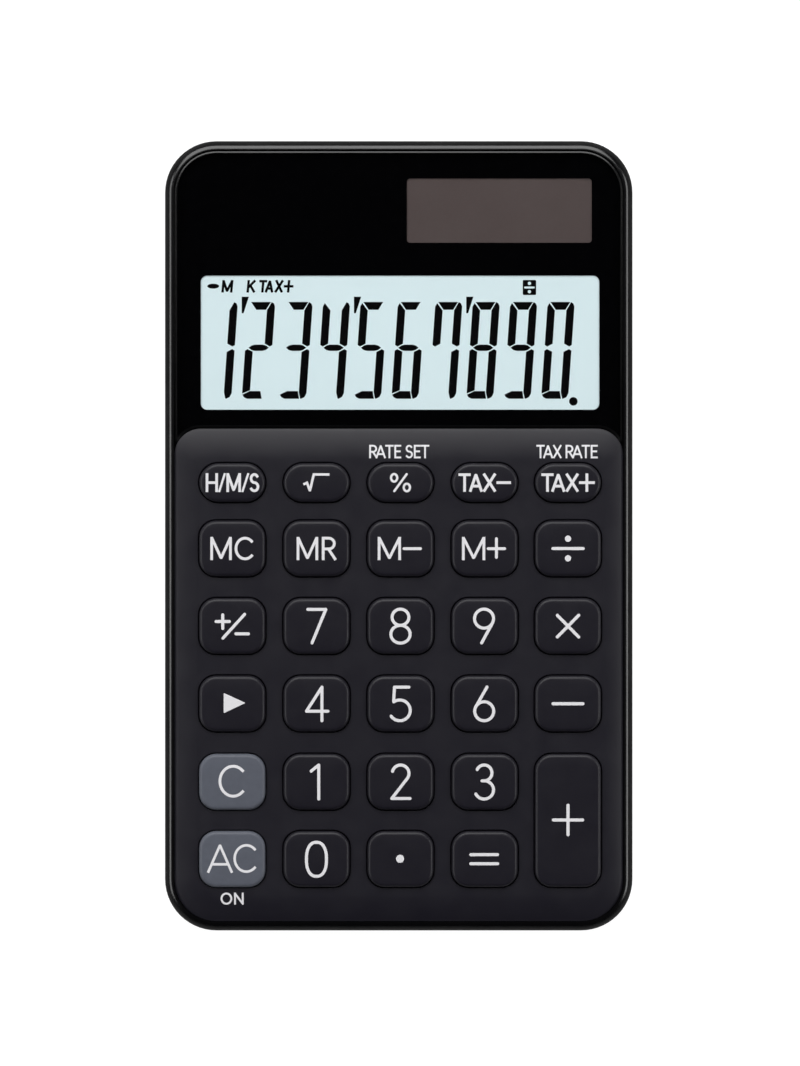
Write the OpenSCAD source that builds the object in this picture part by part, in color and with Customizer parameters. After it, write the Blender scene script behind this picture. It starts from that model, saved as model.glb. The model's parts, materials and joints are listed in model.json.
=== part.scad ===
// Pocket calculator with a ten-digit display, a solar cell and twenty-nine push keys.
// It lies face up: X runs to the right, Y towards the display end and Z up.
// The origin is the middle of the outline, on the surface that the calculator rests on.
// All sizes are in millimetres.

/* [Body] */
// Width of the case
body_w = 70; // [69.6:0.2:72]
// Length of the case
body_l = 118.2; // [118:0.2:120]
// Radius of the case corners in plan
corner_r = 7.7; // [7.6:0.1:7.8]
// Height of the line where the two case halves meet
split_z = 3.0; // [2.9:0.1:3.1]
// Height of the rim that frames the lens and the keypad plate
rim_z = 6.95; // [6.8:0.05:7.1]
// Rounding of the outer edge of the rim
rim_round = 1.0; // [0.6:0.1:1.2]
// Rounding of the outer edge of the back
back_round = 1.6; // [0.8:0.1:2.0]
// Thickness of the floor of the rear case
floor_t = 1.2; // [1.0:0.05:1.2]

/* [Front] */
// Distance from the outline to the lens and the keypad plate
rim_w = 1.4; // [1.3:0.05:1.5]
// Thickness of the display lens
lens_t = 0.8; // [0.6:0.05:0.85]
// Thickness of the keypad plate
plate_t = 1.2; // [1.0:0.05:1.3]
// Height in plan of the line where the keypad plate ends and the lens begins
plate_top_y = 16.04; // [15.8:0.02:16.2]
// Radius of the two upper corners of the keypad plate
plate_corner_r = 4; // [3:0.1:4.5]

/* [Keys] */
// Width of a key
key_w = 9.9; // [9.4:0.1:10.1]
// Depth of a full-size key
key_d = 8.4; // [8.0:0.1:8.6]
// Depth of a key in the slim top row
slim_d = 5.85; // [5.5:0.05:6]
// Corner radius of a full-size key
key_r = 2.55; // [2:0.05:2.8]
// Rounding of the top edge of a key
key_round = 0.5; // [0.3:0.05:0.55]
// Height of the key tops at rest
key_top_z = 8.0; // [7.9:0.05:8.1]
// How far a key goes down
key_travel = 0.7; // [0.5:0.05:0.7]
// Gap between a key and the keypad plate
key_gap = 0.15; // [0.1:0.01:0.2]

/* [Windows] */
// Width of the display window
lcd_win_w = 59.7; // [58:0.1:60]
// Height in plan of the display window
lcd_win_d = 20.1; // [19:0.1:20.4]
// Width of the solar window
solar_win_w = 27.7; // [26:0.1:27.8]
// Height in plan of the solar window
solar_win_d = 9.65; // [9:0.05:9.8]

/* [Hidden] */
$fn = 48;

e = 0.01;                       // overlap of cutting tools only
// stack of layers, from the back to the front
board_z = 1.8;                  // underside of the circuit board
board_t = 0.8;
board_top = board_z + board_t;
mat_t = 0.4;                    // sheet of the rubber key mat
dome_z = 4.0;                   // crown of the rubber domes
pill_z = board_top + 0.7;       // underside of the contact pills
deck_z = 5.0;                   // underside of the front wall
deck_top = 5.85;                // floor of the recess that takes lens and plate
tape_t = 0.1;
seat_z = deck_top + tape_t;     // underside of lens and plate
lens_top = seat_z + lens_t;
plate_top = seat_z + plate_t;
// shells
wall = 1.6;                     // side wall of the front case
tongue_gap = 0.1;
tongue_t = 0.7;
tongue_h = 0.8;
rear_in = wall + tongue_gap + tongue_t;   // side wall of the rear case
in_w = body_w - 2*rim_w;        // outline of lens and plate together
in_l = body_l - 2*rim_w;
in_r = corner_r - rim_w;
fit = 0.05;                     // gap round the inserts
// keypad grid
col_x = [-24.9, -12.3, 0.26, 12.85, 25.3];
row_y = [7.95, -1.9, -13.5, -25.1, -36.8, -48.35];
plus_y = (row_y[4] + row_y[5])/2;
plus_d = key_d + row_y[4] - row_y[5];
flange = 0.5;                   // how far a key's flange reaches past its sides
flange_z = 4.35;
flange_top = 4.95;
plunger_r = 1.6;
// windows
lcd_x = 0.2;
lcd_y = 28.94;
solar_x = 15.07;
solar_y = 48.72;
// display module
glass_w = 61.4;
glass_d = 23.0;
glass_y = 28.4;
glass_t = 0.55;
glass_z = 5.15;                 // underside of the front glass
ledge = 2.6;                    // strip of the front glass that the zebra strip touches
hold_w = 62.8;
hold_d = 24.6;
zebra_y = glass_y - glass_d/2 + 1.25;
// fasteners
post_xy = [[-29.1, -54.6], [29.1, -54.6], [-30.8, 13.2], [30.8, 13.2], [-30.8, 48.6], [30.8, 48.6]];
post_r = 1.5;
post_z = 2.0;                   // where the posts of the two halves meet
boss_xy = [[-18.6, 13.6], [19.1, 13.6], [-18.6, -7.7], [19.1, -7.7], [-18.6, -30.95], [19.1, -30.95], [-6.02, -42.6], [6.58, -42.6]];
boss_r = 1.3;
// battery
bat_x = -18;
bat_y = 48.6;
bat_r = 5.8;
bat_z = floor_t + 0.2;
bat_h = 3.05;

// ---------- colours ----------
satin_black = [0.13, 0.13, 0.15];
plate_grey = [0.17, 0.17, 0.19];
gloss_black = [0.02, 0.02, 0.03];
key_dark = [0.14, 0.14, 0.17];
key_grey = [0.35, 0.37, 0.40];
steel = [0.72, 0.72, 0.74];

// ---------- shared shapes ----------
// Rounded rectangle
module rr(w, l, r) {
  square([w - 2*r, l], center = true);
  square([w, l - 2*r], center = true);
  for (x = [-1, 1], y = [-1, 1]) translate([x*(w/2 - r), y*(l/2 - r)]) circle(r = r);
}

// Rounded rectangle that is extruded from z0 to z1
module slab(w, l, r, z0, z1) translate([0, 0, z0]) linear_extrude(z1 - z0) rr(w, l, r);

// Half section of a block whose upper outer edge is rounded
module edge_profile(a, z0, z1, f) {
  translate([0, z0]) square([a, z1 - z0 - f]);
  translate([0, z0]) square([a - f, z1 - z0]);
  intersection() {
    translate([a - f, z1 - f]) circle(r = f);
    translate([a - f - 0.1, z1 - f - 0.1]) square([f + 1, f + 1]);
  }
}

// Rounded rectangular block whose top edge is rounded all round
module soft_block(w, l, r, z0, z1, f) {
  for (x = [-1, 1], y = [-1, 1]) translate([x*(w/2 - r), y*(l/2 - r), 0])
    rotate_extrude() intersection() {
      edge_profile(r, z0, z1, f);
      translate([0, z0]) square([r + 1, z1 - z0]);
    }
  rotate([90, 0, 0]) linear_extrude(l - 2*r, center = true) for (m = [0, 1]) mirror([m, 0]) edge_profile(w/2, z0, z1, f);
  rotate([90, 0, 90]) linear_extrude(w - 2*r, center = true) for (m = [0, 1]) mirror([m, 0]) edge_profile(l/2, z0, z1, f);
}

// Outline of the keypad plate: small radii at the lens, large radii at the lower end
module plate_outline(grow) {
  w = in_w + 2*grow;
  y0 = -in_l/2 - grow;
  y1 = plate_top_y + grow;
  r0 = in_r + grow;
  r1 = plate_corner_r + grow;
  translate([-w/2, y0 + r0]) square([w, y1 - r1 - y0 - r0]);
  translate([-w/2 + r0, y0]) square([w - 2*r0, r0 + 1]);
  translate([-w/2 + r1, y1 - r1 - 1]) square([w - 2*r1, r1 + 1]);
  for (x = [-1, 1]) {
    translate([x*(w/2 - r0), y0 + r0]) circle(r = r0);
    translate([x*(w/2 - r1), y1 - r1]) circle(r = r1);
  }
}

// Plan shape of every key, grown by g: the slim row, the full-size keys and the tall plus key
module key_plan(c, r, g) {
  if (r == 0) translate([col_x[c], row_y[0]]) rr(key_w + 2*g, slim_d + 2*g, slim_d/2 + g - 0.001);
  else if (c == 4 && r == 4) translate([col_x[4], plus_y]) rr(key_w + 2*g, plus_d + 2*g, key_r + g);
  else if (!(c == 4 && r == 5)) translate([col_x[c], row_y[r]]) rr(key_w + 2*g, key_d + 2*g, key_r + g);
}
module key_plans(g) for (r = [0:5], c = [0:4]) key_plan(c, r, g);

// ---------- keys ----------
// A key: cap, flange that keeps it in the case, and plunger on the rubber dome
module cap(c, r) {
  tall = c == 4 && r == 4;
  d = r == 0 ? slim_d : tall ? plus_d : key_d;
  y = tall ? plus_y : row_y[r];
  rad = r == 0 ? slim_d/2 - 0.001 : key_r;
  translate([col_x[c], y, 0]) {
    soft_block(key_w, d, rad, flange_top - 0.1, key_top_z, key_round);
    slab(key_w + 2*flange, d + 2*flange, rad + flange, flange_z, flange_top);
  }
  for (rr_ = tall ? [4, 5] : [r]) translate([col_x[c], row_y[rr_], dome_z]) cylinder(r = plunger_r, h = flange_z - dome_z + 0.1);
}

module key_hms() color(key_dark) cap(0, 0);
module key_sqrt() color(key_dark) cap(1, 0);
module key_percent() color(key_dark) cap(2, 0);
module key_tax_minus() color(key_dark) cap(3, 0);
module key_tax_plus() color(key_dark) cap(4, 0);
module key_mc() color(key_dark) cap(0, 1);
module key_mr() color(key_dark) cap(1, 1);
module key_m_minus() color(key_dark) cap(2, 1);
module key_m_plus() color(key_dark) cap(3, 1);
module key_divide() color(key_dark) cap(4, 1);
module key_sign() color(key_dark) cap(0, 2);
module key_7() color(key_dark) cap(1, 2);
module key_8() color(key_dark) cap(2, 2);
module key_9() color(key_dark) cap(3, 2);
module key_multiply() color(key_dark) cap(4, 2);
module key_backspace() color(key_dark) cap(0, 3);
module key_4() color(key_dark) cap(1, 3);
module key_5() color(key_dark) cap(2, 3);
module key_6() color(key_dark) cap(3, 3);
module key_minus() color(key_dark) cap(4, 3);
module key_c() color(key_grey) cap(0, 4);
module key_1() color(key_dark) cap(1, 4);
module key_2() color(key_dark) cap(2, 4);
module key_3() color(key_dark) cap(3, 4);
module key_plus() color(key_dark) cap(4, 4);
module key_ac() color(key_grey) cap(0, 5);
module key_0() color(key_dark) cap(1, 5);
module key_point() color(key_dark) cap(2, 5);
module key_equals() color(key_dark) cap(3, 5);

// ---------- case ----------
// Front case: side walls, rim, wall behind lens and plate, and posts for the screws
module front_case() color(satin_black) difference() {
  union() {
    difference() {
      soft_block(body_w, body_l, corner_r, split_z, rim_z, rim_round);
      slab(body_w - 2*wall, body_l - 2*wall, corner_r - wall, split_z - 1, deck_z);
    }
    for (p = post_xy) translate([p[0], p[1], post_z]) cylinder(r = post_r, h = deck_z - post_z + 0.2);
    for (p = boss_xy) translate([p[0], p[1], board_top]) cylinder(r = boss_r, h = deck_z - board_top + 0.2);
  }
  slab(in_w + 2*fit, in_l + 2*fit, in_r + fit, deck_top, rim_z + 1);
  translate([0, 0, deck_z - 1]) linear_extrude(deck_top - deck_z + 2) key_plans(0.25);
  translate([0, glass_y, 0]) slab(hold_w + 0.2, hold_d + 0.2, 1, deck_z - 1, deck_top + 1);
  translate([solar_x, solar_y, 0]) slab(solar_win_w + 0.7, solar_win_d + 0.7, 0.6, deck_z - 1, deck_top + 1);
  for (p = post_xy) translate([p[0], p[1], post_z - e]) cylinder(r = 0.72, h = 2.4);
  for (p = boss_xy) translate([p[0], p[1], board_top - e]) cylinder(r = 0.62, h = 1.7);
}

// Rear case: floor, side walls with a tongue, posts, board supports and battery ring
module rear_case() color(satin_black) difference() {
  union() {
    difference() {
      translate([0, 0, split_z]) mirror([0, 0, 1]) soft_block(body_w, body_l, corner_r, 0, split_z, back_round);
      slab(body_w - 2*rear_in, body_l - 2*rear_in, corner_r - rear_in, floor_t, split_z + 1);
    }
    difference() {
      slab(body_w - 2*(wall + tongue_gap), body_l - 2*(wall + tongue_gap), corner_r - wall - tongue_gap, split_z - 0.2, split_z + tongue_h);
      slab(body_w - 2*rear_in, body_l - 2*rear_in, corner_r - rear_in, split_z - 1, split_z + tongue_h + 1);
    }
    for (p = post_xy) translate([p[0], p[1], 0.1]) cylinder(r = 2.1, h = post_z - 0.1);
    for (x = [0, 2, 4], y = [1, 3, 5]) translate([col_x[x], row_y[y], floor_t - 0.1]) cylinder(r = 1.5, h = board_z - floor_t + 0.1);
    difference() {
      translate([bat_x, bat_y, floor_t - 0.1]) cylinder(r = bat_r + 1.1, h = 2.1);
      translate([bat_x, bat_y, floor_t - 0.5]) cylinder(r = bat_r + 0.2, h = 3);
      translate([bat_x + 3, bat_y - 2.2, floor_t]) cube([8, 4.4, 3]);
    }
  }
  for (p = post_xy) {
    translate([p[0], p[1], -1]) cylinder(r = 1.6, h = 2.1);
    translate([p[0], p[1], -1]) cylinder(r = 0.85, h = 4);
  }
  translate([0, -4, 0]) slab(38, 22, 2, -1, 0.15);
}

// Six screws that hold the case halves together
module case_screws() color(steel) for (p = post_xy) translate([p[0], p[1], 0]) difference() {
  union() {
    translate([0, 0, 0.3]) cylinder(r = 1.45, h = 0.8);
    translate([0, 0, 1.0]) cylinder(r = 0.7, h = 3.2);
  }
  for (a = [0, 90]) rotate(a) translate([-0.9, -0.15, 0]) cube([1.8, 0.3, 0.7]);
}

// ---------- front inserts ----------
// Clear lens over the display and the solar cell, which ends at the keypad plate
module lens_plan(grow, y_low) difference() {
  intersection() {
    rr(in_w + 2*grow, in_l + 2*grow, in_r + grow);
    translate([-body_w/2, y_low]) square([body_w, body_l]);
  }
  plate_outline(0.06 - grow);
}
module display_lens() color(gloss_black) translate([0, 0, seat_z]) linear_extrude(lens_t) lens_plan(0, 14);

// Adhesive film behind the lens, open at both windows
module lens_tape() color([0.85, 0.83, 0.75]) translate([0, 0, deck_top]) linear_extrude(tape_t) difference() {
  lens_plan(-0.5, 16.7);
  translate([lcd_x, glass_y]) rr(hold_w + 1, hold_d - 0.6, 1);
  translate([solar_x, solar_y]) rr(solar_win_w + 1.4, solar_win_d + 1.2, 0.6);
}

// Satin plate that frames the keys
module keypad_plate() color(plate_grey) translate([0, 0, seat_z]) linear_extrude(plate_t) difference() {
  plate_outline(0);
  key_plans(key_gap);
}

// Adhesive film behind the keypad plate
module plate_tape() color([0.85, 0.83, 0.75]) translate([0, 0, deck_top]) linear_extrude(tape_t) difference() {
  plate_outline(-0.5);
  key_plans(0.45);
}

// ---------- keypad electronics ----------
// Silicone key mat: one sheet with a hollow dome and a contact pill under every key
module keymat() color([0.75, 0.76, 0.78]) difference() {
  union() {
    translate([0, -20.4, 0]) slab(64, 64, 3.6, board_top, board_top + mat_t);
    for (x = col_x, y = row_y) translate([x, y, 0]) rotate_extrude()
      polygon([[0, board_top], [3.4, board_top], [3.4, board_top + mat_t], [2.2, 3.6], [1.9, dome_z], [0, dome_z]]);
  }
  for (x = col_x, y = row_y) translate([x, y, 0]) rotate_extrude()
    polygon([[0, board_top - 1], [2.9, board_top - 1], [2.9, board_top + 0.2], [1.75, 3.5], [1.4, 3.5], [1.4, pill_z], [0, pill_z]]);
  for (p = boss_xy) translate([p[0], p[1], board_top - 1]) cylinder(r = boss_r + 0.3, h = 3);
  for (p = post_xy) translate([p[0], p[1], board_top - 1]) cylinder(r = post_r + 0.3, h = 3);
}

// Circuit board with a tab that reaches up between the battery and the solar cell
module circuit_board() color([0.16, 0.36, 0.24]) difference() {
  union() {
    translate([0, -7.75, 0]) slab(64.4, 97.3, 5, board_z, board_top);
    translate([-10.6, 35, board_z]) cube([10, 18, board_t]);
  }
  for (p = boss_xy) translate([p[0], p[1], 0]) cylinder(r = 0.75, h = 4);
  for (p = post_xy) translate([p[0], p[1], 0]) cylinder(r = 2.3, h = 4);
  translate([bat_x, bat_y, 0]) cylinder(r = bat_r + 1.3, h = 4);
}

// Carbon pads on the board, one split pad under every dome
module board_pads() color([0.08, 0.08, 0.09]) for (x = col_x, y = row_y) translate([x, y, board_top]) difference() {
  cylinder(r = 2.1, h = 0.04);
  translate([-3, -0.2, -1]) cube([6, 0.4, 2]);
}

// Eight small screws that hold the board to the front case
module board_screws() color(steel) for (p = boss_xy) translate([p[0], p[1], 0]) difference() {
  union() {
    translate([0, 0, board_z - 0.5]) cylinder(r = 1.2, h = 0.5);
    translate([0, 0, board_z - 0.1]) cylinder(r = 0.6, h = 2.4);
  }
  for (a = [0, 90]) rotate(a) translate([-0.75, -0.12, board_z - 1]) cube([1.5, 0.24, 0.75]);
}

// Moulding over the bonded chip: a low dome behind the display
module chip_blob() color([0.06, 0.06, 0.07]) translate([4, 29, board_top]) rotate_extrude() intersection() {
  translate([0, -8.6]) circle(r = 9.6, $fn = 240);
  square([10, 5]);
}

// Surface-mounted parts: capacitors and resistors
module chip_parts() color([0.72, 0.62, 0.48]) for (p = [[-20, 31, 2.0], [-20, 27, 2.0], [-13, 31, 1.6], [16, 33, 1.6], [16, 29, 1.6], [22, 29, 2.0], [-5, 39, 2.0]])
  translate([p[0] - p[2]/2, p[1] - p[2]/4, board_top]) cube([p[2], p[2]/2, 0.6]);

// ---------- display ----------
module lcd_front_polariser() color([0.80, 0.88, 0.89]) translate([lcd_x, lcd_y, 0]) slab(lcd_win_w + 0.8, lcd_win_d + 0.7, 0.3, glass_z + glass_t, glass_z + glass_t + 0.16);
module lcd_front_glass() color([0.78, 0.86, 0.85]) translate([-glass_w/2, glass_y - glass_d/2, glass_z]) cube([glass_w, glass_d, glass_t]);
module lcd_rear_glass() color([0.76, 0.84, 0.83]) translate([-glass_w/2, glass_y - glass_d/2 + ledge, glass_z - glass_t]) cube([glass_w, glass_d - ledge, glass_t]);
module lcd_reflector() color([0.85, 0.87, 0.86]) translate([-glass_w/2 + 0.5, glass_y - glass_d/2 + ledge + 0.5, glass_z - glass_t - 0.18]) cube([glass_w - 1, glass_d - ledge - 1, 0.18]);

// Frame that carries the display glass in the opening of the front wall
module lcd_holder() color([0.20, 0.20, 0.22]) {
  difference() {
    union() {
      translate([0, glass_y, 0]) slab(hold_w, hold_d, 0.9, 3.9, deck_top);
      translate([0, glass_y, 0]) slab(hold_w + 0.9, hold_d + 0.9, 1.3, 4.4, deck_z);
    }
    translate([-glass_w/2 - 0.1, glass_y - glass_d/2 - 0.1, glass_z - glass_t - 0.18]) cube([glass_w + 0.2, glass_d + 0.2, 5]);
    translate([-28, glass_y - glass_d/2 + ledge + 1.5, 3]) cube([56, glass_d - ledge - 3, 5]);
    translate([-29.1, zebra_y - 1.05, 3]) cube([58.2, 2.1, 5]);
  }
  difference() {
    translate([-30, zebra_y - 1.8, board_top]) cube([60, 3.6, 1.4]);
    translate([-29.1, zebra_y - 1.05, board_top - 1]) cube([58.2, 2.1, 5]);
  }
}

// Conducting rubber strip from the board up to the ledge of the front glass
module zebra_strip() color([0.86, 0.45, 0.52]) translate([-29, zebra_y - 1, board_top]) cube([58, 2, glass_z - board_top]);

// ---------- power ----------
module solar_cell() color([0.28, 0.22, 0.22]) translate([solar_x, solar_y, 0]) slab(solar_win_w + 0.5, solar_win_d + 0.5, 0.3, 4.75, deck_top);
module solar_pad() color([0.25, 0.25, 0.27]) translate([solar_x + 2, solar_y, 0]) slab(20, 7, 0.5, floor_t, 4.75);

// Two wires from the board tab to the back of the solar cell
module solar_wires() color([0.72, 0.14, 0.12]) for (y = [46.4, 51]) {
  translate([-3, y, board_top]) cylinder(r = 0.35, h = 1.2);
  translate([-3, y, 3.8]) sphere(r = 0.35);
  translate([-3, y, 3.8]) rotate([0, 90, 0]) cylinder(r = 0.35, h = 6);
  translate([3, y, 3.8]) sphere(r = 0.35);
  translate([3, y, 3.8]) cylinder(r = 0.35, h = 0.95);
}

// Button cell: narrow negative cap below, positive can above
module battery() color([0.78, 0.78, 0.80]) translate([bat_x, bat_y, bat_z]) {
  cylinder(r = 4.9, h = 0.4);
  translate([0, 0, 0.3]) cylinder(r = bat_r, h = bat_h - 0.3);
}
module battery_contact_plus() color([0.80, 0.76, 0.62]) {
  translate([bat_x - 2, bat_y - 1.5, bat_z + bat_h]) cube([10, 3, 0.18]);
  translate([bat_x + 7.8, bat_y - 1.5, board_top]) cube([0.2, 3, bat_z + bat_h + 0.18 - board_top]);
  translate([bat_x + 7.8, bat_y - 1.5, board_top]) cube([2, 3, 0.18]);
}
module battery_contact_minus() color([0.80, 0.76, 0.62]) {
  translate([bat_x - 3, bat_y - 1.8, floor_t]) cube([12, 3.6, 0.2]);
  translate([bat_x + 8.8, bat_y - 1.8, floor_t]) cube([0.2, 3.6, board_z - floor_t]);
}

front_case();
rear_case();
case_screws();
display_lens();
lens_tape();
keypad_plate();
plate_tape();
keymat();
circuit_board();
board_pads();
board_screws();
chip_blob();
chip_parts();
lcd_front_polariser();
lcd_front_glass();
lcd_rear_glass();
lcd_reflector();
lcd_holder();
zebra_strip();
solar_cell();
solar_pad();
solar_wires();
battery();
battery_contact_plus();
battery_contact_minus();
key_hms();
key_sqrt();
key_percent();
key_tax_minus();
key_tax_plus();
key_mc();
key_mr();
key_m_minus();
key_m_plus();
key_divide();
key_sign();
key_7();
key_8();
key_9();
key_multiply();
key_backspace();
key_4();
key_5();
key_6();
key_minus();
key_c();
key_1();
key_2();
key_3();
key_plus();
key_ac();
key_0();
key_point();
key_equals();
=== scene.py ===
import json
import math

import bmesh
import bpy
from mathutils import Matrix, Vector
from mathutils.geometry import delaunay_2d_cdt


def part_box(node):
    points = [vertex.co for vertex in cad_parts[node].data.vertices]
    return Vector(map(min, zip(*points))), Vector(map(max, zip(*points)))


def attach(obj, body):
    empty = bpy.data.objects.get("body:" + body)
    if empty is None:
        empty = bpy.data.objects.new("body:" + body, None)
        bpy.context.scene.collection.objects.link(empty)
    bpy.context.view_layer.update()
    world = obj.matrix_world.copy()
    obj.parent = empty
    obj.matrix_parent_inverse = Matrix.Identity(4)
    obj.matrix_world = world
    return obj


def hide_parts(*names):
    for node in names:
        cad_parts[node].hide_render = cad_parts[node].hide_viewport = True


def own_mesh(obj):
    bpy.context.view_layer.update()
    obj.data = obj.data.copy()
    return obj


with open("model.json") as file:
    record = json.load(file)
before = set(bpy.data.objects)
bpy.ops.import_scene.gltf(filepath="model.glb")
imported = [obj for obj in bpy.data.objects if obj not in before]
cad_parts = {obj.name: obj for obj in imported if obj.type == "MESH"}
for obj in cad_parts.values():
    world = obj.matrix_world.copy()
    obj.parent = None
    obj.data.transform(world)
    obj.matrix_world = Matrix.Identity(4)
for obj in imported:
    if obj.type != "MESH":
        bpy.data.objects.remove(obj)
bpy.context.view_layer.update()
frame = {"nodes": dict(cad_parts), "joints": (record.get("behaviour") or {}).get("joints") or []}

MM = 0.001


def mm(v):
    return [round(c * 1000, 4) for c in v]


def centre_of(node):
    lo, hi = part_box(node)
    return (lo + hi) * 500.0  # in millimetres


# ------------------------------------------------------------------ layout, read from the frame
CASE_LO, CASE_HI = (v * 1000 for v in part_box("front_case"))
REAR_LO, REAR_HI = (v * 1000 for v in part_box("rear_case"))
LENS_LO, LENS_HI = (v * 1000 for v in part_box("display_lens"))
PLATE_LO, PLATE_HI = (v * 1000 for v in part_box("keypad_plate"))
BOARD_LO, BOARD_HI = (v * 1000 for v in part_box("circuit_board"))
W = CASE_HI.x - CASE_LO.x
L = CASE_HI.y - CASE_LO.y
SPLIT = CASE_LO.z + 1.0  # the posts of the front case reach 1 mm below the parting line
RIM = CASE_HI.z
CORNER = 7.7
INSET = (W - (PLATE_HI.x - PLATE_LO.x)) / 2
DECK_LO, DECK_HI = 5.0, 5.85
WALL = 1.6
REAR_IN = 2.4
FLANGE = 0.5
KEY_R = 2.55
FLOOR_T = 1.2

ROWS = [
    ["hms", "sqrt", "percent", "tax_minus", "tax_plus"],
    ["mc", "mr", "m_minus", "m_plus", "divide"],
    ["sign", "7", "8", "9", "multiply"],
    ["backspace", "4", "5", "6", "minus"],
    ["c", "1", "2", "3", "plus"],
    ["ac", "0", "point", "equals", None],
]
KEYS = [k for row in ROWS for k in row if k]
KEY = {}
for k in KEYS:
    lo, hi = (v * 1000 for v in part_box("key_" + k))
    w, d = hi.x - lo.x - 2 * FLANGE, hi.y - lo.y - 2 * FLANGE
    KEY[k] = dict(
        x=(lo.x + hi.x) / 2, y=(lo.y + hi.y) / 2, w=w, d=d, top=hi.z, bottom=lo.z,
        r=min(KEY_R, d / 2 - 0.001) if k not in ROWS[0] else d / 2 - 0.001,
    )
COL_X = [KEY[k]["x"] for k in ROWS[2]]
ROW_Y = [KEY[row[0]]["y"] for row in ROWS]
TRAVEL = {j["child"]: abs(j["range_m"][1]) * 1000 for j in frame["joints"]}
POSTS = [(-29.1, -54.6), (29.1, -54.6), (-30.8, 13.2), (30.8, 13.2), (-30.8, 48.6), (30.8, 48.6)]
BOSSES = [(-18.6, 13.6), (19.1, 13.6), (-18.6, -7.7), (19.1, -7.7), (-18.6, -30.95), (19.1, -30.95), (-6.02, -42.6), (6.58, -42.6)]
LCD = (0.2, 28.94, 59.7, 20.1)  # window centre, width and height
SOLAR = (15.07, 48.72, 27.7, 9.65)


# ------------------------------------------------------------------ mesh helpers
def rr(w, l, r, cx=0.0, cy=0.0, n=10):
    """Counter-clockwise rounded rectangle with n segments on each corner."""
    r = max(min(r, w / 2 - 1e-4, l / 2 - 1e-4), 1e-3)
    pts = []
    for sx, sy, a0 in ((1, -1, -90), (1, 1, 0), (-1, 1, 90), (-1, -1, 180)):
        ox, oy = cx + sx * (w / 2 - r), cy + sy * (l / 2 - r)
        for i in range(n + 1):
            a = math.radians(a0 + 90 * i / n)
            pts.append((ox + r * math.cos(a), oy + r * math.sin(a)))
    return pts


def plate_rr(dl, dr, db, dt, n=12):
    """The keypad plate's outline, moved in by a distance on each side."""
    x0, x1 = PLATE_LO.x + dl, PLATE_HI.x - dr
    y0, y1 = PLATE_LO.y + db, PLATE_HI.y - dt
    r0, r1 = CORNER - INSET, 4.0
    pts = []
    for x, y, sx, sy, a0, r, i in (
        (x1, y0, -1, 1, -90, r0, max(dr, db)), (x1, y1, -1, -1, 0, r1, max(dr, dt)),
        (x0, y1, 1, -1, 90, r1, max(dl, dt)), (x0, y0, 1, 1, 180, r0, max(dl, db)),
    ):
        q = max(r - i * 0.75, 0.9)
        ox, oy = x + sx * q, y + sy * q
        for j in range(n + 1):
            a = math.radians(a0 + 90 * j / n)
            pts.append((ox + q * math.cos(a), oy + q * math.sin(a)))
    return pts


def circle(cx, cy, r, n=24, a0=0.0):
    return [(cx + r * math.cos(a0 + 2 * math.pi * i / n), cy + r * math.sin(a0 + 2 * math.pi * i / n)) for i in range(n)]


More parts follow.
